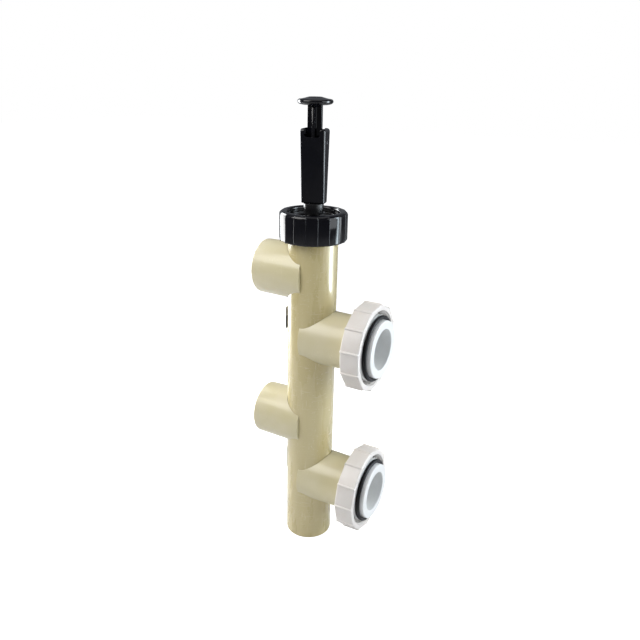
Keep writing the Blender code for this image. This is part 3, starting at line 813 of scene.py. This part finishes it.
def piston_outline(node):
    """A piston with two grooves for its rings."""
    centre, floor_radius = middle(node), PISTON_RADIUS - GROOVE_DEPTH
    points = [(ROD_HOLE, centre - PISTON_HALF, 0.0004),
              (PISTON_RADIUS, centre - PISTON_HALF, 0.0009)]
    for height in (centre - RING_OFFSET, centre + RING_OFFSET):
        points += [(PISTON_RADIUS, height - RING_HALF, 0.0002),
                   (floor_radius, height - RING_HALF, 0.0002),
                   (floor_radius, height + RING_HALF, 0.0002),
                   (PISTON_RADIUS, height + RING_HALF, 0.0002)]
    return points + [(PISTON_RADIUS, centre + PISTON_HALF, 0.0009),
                     (ROD_HOLE, centre + PISTON_HALF, 0.0004)]


def sleeve_outline(node, *eases):
    """A plain ring on the rod, as long and as wide as its CAD node."""
    low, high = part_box(node)
    radius = (high.y - low.y) / 2
    corners = [(ROD_HOLE, low.z), (radius, low.z), (radius, high.z), (ROD_HOLE, high.z)]
    return [(*corner, ease) for corner, ease in zip(corners, eases)]


def stem_outline():
    """The rod with a threaded foot, a stop collar and the stud for the grip."""
    low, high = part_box("stem_rod")
    outline = [(0, low.z), (THREAD_ROOT - GAP, low.z, 0.0003)]
    for turn_number in range(6):
        base = low.z + 0.0008 + 0.0015 * turn_number
        outline += [(THREAD_ROOT, base), (THREAD_TOP, base + 0.0006), (THREAD_TOP, base + 0.0009)]
    shoulder, collar, stud = -0.0611, 0.1591, 0.3637
    return outline + [
        (THREAD_TOP, shoulder), (ROD_RADIUS, shoulder + 0.0003, 0.0003), (ROD_RADIUS, collar),
        (COLLAR_REACH, collar, 0.0005), (COLLAR_REACH, collar + 0.0040, 0.0010),
        (ROD_RADIUS, collar + 0.0060, 0.0006), (ROD_RADIUS, stud, 0.0006),
        (STUD_RADIUS, stud), (STUD_RADIUS, high.z, 0.0008), (0, high.z)]


NYLON, BLACK = ("piston nylon", "piston_nylon"), ("black satin", "black_abs")
STEEL, RUBBER = ("turned steel", "stainless_steel"), ("seal rubber", "seal_rubber")
WASHER_EASES = (0.0002, 0.0004, 0.0004, 0.0002)
INNER_PARTS = [
    ("piston_lower", piston_outline("piston_lower"), NYLON),
    ("piston_upper", piston_outline("piston_upper"), NYLON),
    ("spacer_tube", sleeve_outline("spacer_tube", 0.0004, 0.0006, 0.0006, 0.0004), NYLON),
    ("stem_rod", stem_outline(), BLACK),
    ("handle_neck", sleeve_outline("handle_neck", 0.0004, 0.0012, 0.0006, 0.0003), BLACK),
    ("stop_washer_lower", sleeve_outline("stop_washer_lower", *WASHER_EASES), STEEL),
    ("stop_washer_upper", sleeve_outline("stop_washer_upper", *WASHER_EASES), STEEL),
]
for seal_name, major, minor in (("bonnet_o_ring", 0.0246, 0.0014),
                                ("stem_seal_lower", 0.0096, 0.0017),
                                ("stem_seal_upper", 0.0096, 0.0017),
                                ("piston_o_ring_1", 0.02395, 0.0019),
                                ("piston_o_ring_2", 0.02395, 0.0019),
                                ("piston_o_ring_3", 0.02395, 0.0019),
                                ("piston_o_ring_4", 0.02395, 0.0019)):
    INNER_PARTS.append((seal_name, ring_outline(major, minor, middle(seal_name)), RUBBER))

# %% Turn the inner parts
for stands_for, outline, (finish, slot) in INNER_PARTS:
    part = turned("turned_" + stands_for, outline, STEM_LINE, sides=72, steps=3)
    hand_over(part, stands_for, finish)
    low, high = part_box(stands_for)
    print("   CAD node", [round(1000 * side, 1) for side in high - low])

# %% [markdown]
# ## The nut at the stem's foot
# A plain hexagon nut ends the stem.  A real one is faced with a cone at each
# end, which leaves curved corners.  Here a six-sided cylinder has its rims
# bevelled, and its threaded hole is cut with a turned tool.

# %% Cut the hexagon nut
foot_low, foot_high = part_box("end_nut")
FOOT_THREAD, FOOT_CHAMFER = 0.0053, 0.0007
clear_selection()
bpy.ops.mesh.primitive_cylinder_add(
    vertices=6, radius=(foot_high.x - foot_low.x) / 2, depth=foot_high.z - foot_low.z,
    location=(STEM_X, 0, (foot_low.z + foot_high.z) / 2), rotation=(0, 0, radians(30)))
foot_nut = bpy.context.object
foot_nut.name = "hexagon_nut"
bpy.ops.object.transform_apply(location=True, rotation=True, scale=True)
soften(foot_nut, FOOT_CHAMFER, 3, angle=70)
hole = turned("hole", [
    (0, -0.075), (FOOT_THREAD + FOOT_CHAMFER, -0.075), (FOOT_THREAD, foot_low.z + 0.0005),
    (FOOT_THREAD, foot_high.z - 0.0005), (FOOT_THREAD + FOOT_CHAMFER, foot_high.z + 0.0005),
    (0, foot_high.z + 0.0005)], STEM_LINE, sides=48)
carve(foot_nut, hole)
hand_over(foot_nut, "end_nut", "turned steel")
print("   CAD node", [round(1000 * side, 1) for side in foot_high - foot_low])

# %% [markdown]
# ## The locking ears
# The collar under the plate is a ring with two ears.  Half of its outline is
# drawn, repeated once and extruded, and the stem's hole is cut last.

# %% Shape the locking ears
ears_low, ears_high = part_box("bayonet_collar")
EAR_REACH, RING_REACH, EAR_ANGLE = 0.018, 0.011, 14
half_outline = [(radians(angle), RING_REACH) for angle in range(-90, -EAR_ANGLE, 4)]
half_outline += [(radians(angle), EAR_REACH) for angle in range(-EAR_ANGLE, EAR_ANGLE + 1, 4)]
half_outline += [(-angle, radius) for angle, radius in reversed(half_outline[:19])]
ears = extruded("locking_ears", STEM_LINE, 2, half_outline,
                eased_ends(ears_low.z, ears_high.z, 0.0005, 0.0008, EAR_REACH))
carve(ears, drill(ROD_HOLE, ears_low.z - BEYOND, ears_high.z + BEYOND, STEM_LINE, sides=48))
hand_over(ears, "bayonet_collar", "black satin")

# %% [markdown]
# ## The grip
# The hand takes hold of a square column that widens slightly upward.  It
# starts as a cube: the top face is scaled out for the taper, the uprights and
# the rims are bevelled, the top is inset and pushed down to hollow it, and a
# wide notch front and back shows the rod inside.

# %% Shape the grip
grip_low, grip_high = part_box("grip")
GRIP_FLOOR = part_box("handle_rod")[0].z - GAP
GRIP_FOOT_SIZE, GRIP_TOP_SIZE = (0.0288, 0.0160), (0.0304, 0.0242)
HANDLE_TURN = radians(12.5)


def with_the_handle(piece):
    """Turns a finished piece round the stem, as far as the whole handle stands turned."""
    there = Matrix.Translation(STEM_LINE[0])
    piece.data.transform(there @ Matrix.Rotation(HANDLE_TURN, 4, Z) @ there.inverted())
    return piece


def run(piece, edge, axis):
    """How far an edge goes along one axis: 0, 1 or 2 for X, Y or Z."""
    start, end = (piece.data.vertices[index].co for index in edge.vertices)
    return abs(end[axis] - start[axis])


grip_height = grip_high.z - grip_low.z
clear_selection()
bpy.ops.mesh.primitive_cube_add(size=1.0, location=(0, 0, 0))
grip = bpy.context.object
grip.name = "grip_column"
bpy.ops.object.mode_set(mode="EDIT")
bpy.ops.mesh.select_all(action="SELECT")
bpy.ops.transform.resize(value=(GRIP_FOOT_SIZE[0], GRIP_FOOT_SIZE[1], grip_height),
                         center_override=(0, 0, 0))
bpy.ops.transform.translate(value=(STEM_X, 0, grip_low.z + grip_height / 2))
select_where(grip, "polygons", lambda face: face.normal.z > 0.9)
bpy.ops.transform.resize(value=(GRIP_TOP_SIZE[0] / GRIP_FOOT_SIZE[0],
                                GRIP_TOP_SIZE[1] / GRIP_FOOT_SIZE[1], 1),
                         center_override=(STEM_X, 0, 0))
uprights = select_where(grip, "edges", lambda edge: run(grip, edge, 2) > 0.05)
bpy.ops.mesh.bevel(offset=0.0040, segments=6, affect="EDGES")
print("grip uprights rounded:", uprights)


def rim_edge(edge, height):
    """True for the edges round the grip at one height."""
    ends = [grip.data.vertices[index].co.z for index in edge.vertices]
    return all(abs(end - height) < 1e-5 for end in ends)


select_where(grip, "edges", lambda edge: rim_edge(edge, grip_low.z))
bpy.ops.mesh.bevel(offset=0.0018, segments=4, affect="EDGES")
select_where(grip, "edges", lambda edge: rim_edge(edge, grip_high.z))
bpy.ops.mesh.bevel(offset=0.0034, segments=6, affect="EDGES")
select_where(grip, "polygons", lambda face: face.normal.z > 0.99 and face.center.z > 0.44)
bpy.ops.mesh.inset(thickness=0.0008)
bpy.ops.mesh.extrude_region_move(
    TRANSFORM_OT_translate={"value": (0, 0, GRIP_FLOOR - grip_high.z)})
bpy.ops.transform.resize(value=(0.98, 0.93, 1), center_override=(STEM_X, 0, 0))
bpy.ops.object.mode_set(mode="OBJECT")

# %% [markdown]
# The notch is a rounded block cut straight through, so its floor meets the
# walls in a soft corner.  Below it go a hole for the stem's stud and one for
# the cross pin, which the rod needs too, so that tool is copied first.

# %% Cut the notch, the stud's hole and the pin's hole
NOTCH_FLOOR, NOTCH_SIZE = 0.4386, Vector((0.0185, 0.05, 0.02))
PIN_RADIUS, PIN_REACH = 0.0018, 0.0148
notch = block((STEM_X, 0, NOTCH_FLOOR + NOTCH_SIZE.z / 2), NOTCH_SIZE)
edit(notch)
select_where(notch, "edges", lambda edge: run(notch, edge, 1) > 0.04)
bpy.ops.mesh.bevel(offset=0.0032, segments=5, affect="EDGES")
bpy.ops.object.mode_set(mode="OBJECT")
stud_hole = drill(STUD_RADIUS + GAP, grip_low.z - BEYOND, 0.378, STEM_LINE, sides=48)
pin_line = (Vector((STEM_X, 0, middle("cross_pin"))), X, Z)
pin_hole = drill(PIN_RADIUS + GAP, -0.02, 0.02, pin_line, sides=32)
pin_hole_copy = copied(pin_hole, "pin_hole_copy")
carve(grip, notch, stud_hole, pin_hole)
soften(grip, 0.0004, 2, angle=50)
hand_over(with_the_handle(grip), "grip", "black gloss", weighted=True)

# %% [markdown]
# ## The handle rod
# The rod is a cross in section, because a solid bar that thick would sink as
# it cooled.  Half of the cross is drawn, one wide arm and one narrower, and
# repeated on the other side of the axis.  Then it is extruded up to the knob.

# %% Extrude the handle rod
rod_low, rod_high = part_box("handle_rod")
SHOULDER, TENON = 0.4726, 0.55
half_cross = [(-45, 0.0038), (-18, 0.0071), (-14, 0.0085), (-8, 0.0087), (8, 0.0087),
              (14, 0.0085), (18, 0.0071), (45, 0.0038), (71, 0.0062), (75, 0.0074),
              (81, 0.0076), (99, 0.0076), (105, 0.0074), (109, 0.0062), (135, 0.0038)]
rod = extruded("cross_rod", STEM_LINE, 2, [(radians(angle), reach) for angle, reach in half_cross],
               [(rod_low.z, 0.94), (rod_low.z + 0.0006, 1.0), (SHOULDER, 1.0),
                (SHOULDER, TENON), (rod_high.z, TENON)])
carve(rod, pin_hole_copy)
soften(rod, 0.0003, 2, angle=50)
hand_over(with_the_handle(rod), "handle_rod", "black gloss")

# %% [markdown]
# ## The knob and the pin
# The knob is a thin mushroom that the palm pulls on.  Its rim is fully round
# and its crown is a low dome on a flat shoulder.  The pin that ties rod and
# grip together is a short steel bar with rounded ends.

# %% Turn the knob and the pin
UNDERSIDE, KNOB_TOP = (corner.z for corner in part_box("knob"))
KNOB_RADIUS, TENON_HOLE, TENON_ROOF = 0.0202, 0.0050, 0.4774
knob = turned("pull_knob", [
    (0, TENON_ROOF), (TENON_HOLE, TENON_ROOF), (TENON_HOLE, UNDERSIDE, 0.0004),
    (0.0140, UNDERSIDE, 0.0020), (0.0185, 0.4740, 0.0020), (KNOB_RADIUS, 0.4758, 0.0016),
    (KNOB_RADIUS, 0.4776, 0.0016), (0.0188, 0.4791, 0.0014), (0.0150, 0.4796, 0.0030),
    (0.0100, 0.4808, 0.0030), (0.0070, KNOB_TOP, 0.0026), (0, KNOB_TOP),
], STEM_LINE, sides=96)
hand_over(knob, "knob", "black gloss")
pin = turned("handle_pin", [(0, -PIN_REACH), (PIN_RADIUS, -PIN_REACH, 0.0005),
                            (PIN_RADIUS, PIN_REACH, 0.0005), (0, PIN_REACH)], pin_line, sides=32)
hand_over(with_the_handle(pin), "cross_pin", "turned steel")

# %% [markdown]
# ## The stickers
# Two stickers wrap round the back of the tube and just reach its left side.
# Their print is left out: the upper one is dark below and pale above, and the
# lower one has two green fields in a pale frame.  The bands are read from
# Object coordinates, height alone.


# %% A banded film
def banded_film(name, low, high, colours):
    """A printed film whose colour changes at shares of its height."""
    made = bpy.data.materials.new(name)
    made.use_nodes = True
    tree = made.node_tree
    shader = tree.nodes["Principled BSDF"]
    where = node(tree, "TexCoord").outputs["Object"]
    height = node(tree, "SeparateXYZ", Vector=where).outputs["Z"]
    share = node(tree, "MapRange", Value=height, From_Min=low, From_Max=high).outputs[0]
    ramp = node(tree, "ValToRGB", Fac=share)
    ramp.color_ramp.interpolation = "CONSTANT"
    points = ramp.color_ramp.elements
    for number, (start, colour) in enumerate(colours):
        point = points[number] if number < 2 else points.new(start)
        point.position = start
        point.color = (*colour, 1)
    marks = use(tree, "handling_scuffs", Amount=0.4)
    worn = node(tree, "Mix", {"data_type": "RGBA"}, i0=marks.outputs["Mask"],
                i6=ramp.outputs["Color"], i7=(0.5, 0.5, 0.48, 1))
    tree.links.new(worn.outputs[2], shader.inputs["Base Color"])
    clouds = use(tree, "melt_clouds", Size=80.0)
    rough = node(tree, "MapRange", Value=clouds.outputs["Clouds"], To_Min=0.32, To_Max=0.5)
    tree.links.new(rough.outputs[0], shader.inputs["Roughness"])
    return made


DARK, PALE, GREEN = (0.020, 0.026, 0.026), (0.55, 0.55, 0.52), (0.10, 0.20, 0.14)
BANDS = {
    "label_upper": [(0.0, DARK), (0.58, PALE)],
    "label_lower": [(0.0, PALE), (0.05, GREEN), (0.60, PALE), (0.64, GREEN), (0.95, PALE)],
}

# %% [markdown]
# The upper sticker has come loose at its end.  Everything past one line on the
# tube is pushed outward a little, then everything past a second line, and so
# on, which bends the film in four small steps.

# %% Wrap the stickers
STICKER_START, STICKER_SWEEP, FILM_THICKNESS = 145, 62, 0.0004
LOOSE_FROM, LOOSE_STEP = (190, 194, 198, 202), 0.0004


def way_at(degrees):
    """The way outward from the stem at an angle from +X."""
    return Vector((cos(radians(degrees)), sin(radians(degrees)), 0))


def loosen(film):
    """Bends the end of a sticker off the tube."""
    for degrees in LOOSE_FROM:
        edit(film)
        backward = way_at(degrees - 90)
        lifted = select_where(film, "vertices",
                              lambda vertex: (vertex.co - STEM_LINE[0]).dot(backward) < 0)
        bpy.ops.transform.translate(value=way_at(STICKER_START + STICKER_SWEEP) * LOOSE_STEP)
        print("   lifted points:", lifted)
    bpy.ops.object.mode_set(mode="OBJECT")


for stands_for, colours in BANDS.items():
    low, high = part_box(stands_for)
    FINISH[stands_for] = banded_film("film_" + stands_for, low.z, high.z, colours)
    inside, outside = TUBE_RADIUS + GAP, TUBE_RADIUS + GAP + FILM_THICKNESS
    film = turned("sticker_" + stands_for, [
        (inside, low.z), (outside, low.z, 0.0001), (outside, high.z, 0.0001), (inside, high.z)],
        (STEM_LINE[0], Z, way_at(STICKER_START)), sides=40, sweep=radians(STICKER_SWEEP), steps=1)
    if stands_for == "label_upper":
        loosen(film)
    hand_over(film, stands_for, stands_for)
    print("   CAD node", [round(1000 * side, 1) for side in high - low])

# %% [markdown]
# ## The neck ring
# The threaded ring glued round the tube's top is hidden under the black nut.
# Its CAD shape is right as it is, so it only takes a better finish.

# %% Finish what stays CAD
neck = frame["nodes"]["neck_ring"]
neck.material_slots[0].material = FINISH["cream fitting"]
print("neck ring keeps its CAD mesh")

# %% [markdown]
# ## Floor and light
# The object stands in a light tent, on paper that shows pure white and gives
# back part of the light.  A tall soft light stands to the left and slightly
# behind, another straight to the right, a high one at the front left and a
# broad one at the front right, with a weak one overhead.  That leaves the
# tube's front deeper in colour than its sides.  Two more boxes only show in
# polished surfaces, as one long white streak on each side of the black nut.

# %% Floor
clear_selection()
bpy.ops.mesh.primitive_plane_add(size=14.0, location=(0, 0, cad_low.z - 0.0002))
floor = bpy.context.object
floor.name = "floor"
paper = bpy.data.materials.new("white_paper")
paper.use_nodes = True
sheet = paper.node_tree
matt = sheet.nodes["Principled BSDF"]
matt.inputs["Base Color"].default_value = (0.75, 0.75, 0.76, 1)
matt.inputs["Roughness"].default_value = 0.9
matt.inputs["Specular IOR Level"].default_value = 0.1
lit = node(sheet, "BsdfPrincipled", Base_Color=(0.5, 0.5, 0.5, 1), Roughness=0.9,
           Specular_IOR_Level=0.1, Emission_Color=(1, 1, 1, 1), Emission_Strength=0.97)
seen = node(sheet, "LightPath").outputs["Is Camera Ray"]
either = node(sheet, "MixShader", i0=seen, i1=matt.outputs[0], i2=lit.outputs[0])
sheet.links.new(either.outputs[0], sheet.nodes["Material Output"].inputs["Surface"])
floor.data.materials.append(paper)

# %% Camera
AZIMUTH, PITCH, ROLL = radians(28.49), radians(20.35), radians(1.21)
EYE = Vector((0.2759, -0.6675, 0.5015))
looking = Vector((-sin(AZIMUTH) * cos(PITCH), cos(AZIMUTH) * cos(PITCH), -sin(PITCH)))
level_right = Vector((cos(AZIMUTH), sin(AZIMUTH), 0))
level_up = level_right.cross(looking)
camera_x = level_right * cos(ROLL) + level_up * sin(ROLL)
camera_y = level_up * cos(ROLL) - level_right * sin(ROLL)
camera_data = bpy.data.cameras.new("camera")
camera = bpy.data.objects.new("camera", camera_data)
bpy.context.scene.collection.objects.link(camera)
camera.matrix_world = Matrix.Translation(EYE) @ Matrix(
    (camera_x, camera_y, -looking)).transposed().to_4x4()
camera_data.sensor_width = 36.0
camera_data.lens = 36.77
bpy.context.scene.camera = camera
print("camera at", [round(value, 3) for value in EYE])

# %% Soft lights
CENTRE = Vector((STEM_X + 0.03, 0, 0.20))
ahead = Vector((-sin(AZIMUTH), cos(AZIMUTH), 0))


def soft_light(name, degrees, distance, lift, size, power, tint=(1, 1, 1)):
    """A rectangular light placed by its angle from the camera, plus to the right.

    It looks at the middle of the valve, and lift is how far it stands above that."""
    angle = radians(degrees)
    data = bpy.data.lights.new(name, "AREA")
    data.shape = "RECTANGLE"
    data.size, data.size_y = size
    data.energy = power
    data.color = tint
    light = bpy.data.objects.new(name, data)
    bpy.context.scene.collection.objects.link(light)
    beside = level_right * sin(angle) - ahead * cos(angle)
    light.location = CENTRE + beside * distance + Z * lift
    light.rotation_euler = (CENTRE - light.location).to_track_quat("-Z", "Y").to_euler()
    light.visible_camera = False
    return light


soft_light("left_tall_box", -125.0, 0.85, 0.10, (0.30, 1.1), 9.4)
soft_light("right_tall_box", 99.0, 0.85, 0.10, (0.34, 1.1), 5.0, (0.88, 0.95, 1.0))
soft_light("high_left_box", -65.0, 0.80, 0.75, (0.7, 0.7), 8.4, (1.0, 0.99, 0.97))
soft_light("top_box", 0.0, 0.05, 1.0, (0.8, 0.8), 1.5)
soft_light("front_right_box", 64.0, 1.1, 0.35, (0.7, 0.9), 6.2, (0.92, 0.96, 1.0))

# %% Streaks that only polished surfaces show
for name, degrees, width, power, tint in (
        ("left_streak_box", -138.0, 0.30, 9.0, (0.92, 0.97, 1.0)),
        ("right_streak_box", 90.0, 0.24, 13.0, (0.80, 0.92, 1.0))):
    streak = soft_light(name, degrees, 0.9, 0.10, (width, 1.1), power, tint)
    streak.visible_diffuse = False

# %% World
world = bpy.data.worlds.new("light_tent")
bpy.context.scene.world = world
world.use_nodes = True
tent = world.node_tree
tent.nodes.clear()
way = node(tent, "TexCoord").outputs["Generated"]
behind = node(tent, "VectorMath", {"operation": "DOT_PRODUCT"},
              i0=way, i1=tuple(ahead)).outputs["Value"]
strength = node(tent, "MapRange", {"interpolation_type": "SMOOTHSTEP"}, Value=behind,
                From_Min=-0.6, From_Max=0.7).outputs[0]
room = node(tent, "Mix", {"data_type": "RGBA"}, i0=strength,
            i6=(0.11, 0.11, 0.11, 1), i7=(0.20, 0.21, 0.23, 1)).outputs[2]
seen = node(tent, "LightPath").outputs["Is Camera Ray"]
shown = node(tent, "Mix", {"data_type": "RGBA"}, i0=seen, i6=room, i7=(1, 1, 1, 1)).outputs[2]
cloth = node(tent, "Background", Color=shown, Strength=1.0)
result = tent.nodes.new("ShaderNodeOutputWorld")
tent.links.new(cloth.outputs[0], result.inputs["Surface"])
bpy.context.scene.view_settings.view_transform = "Standard"
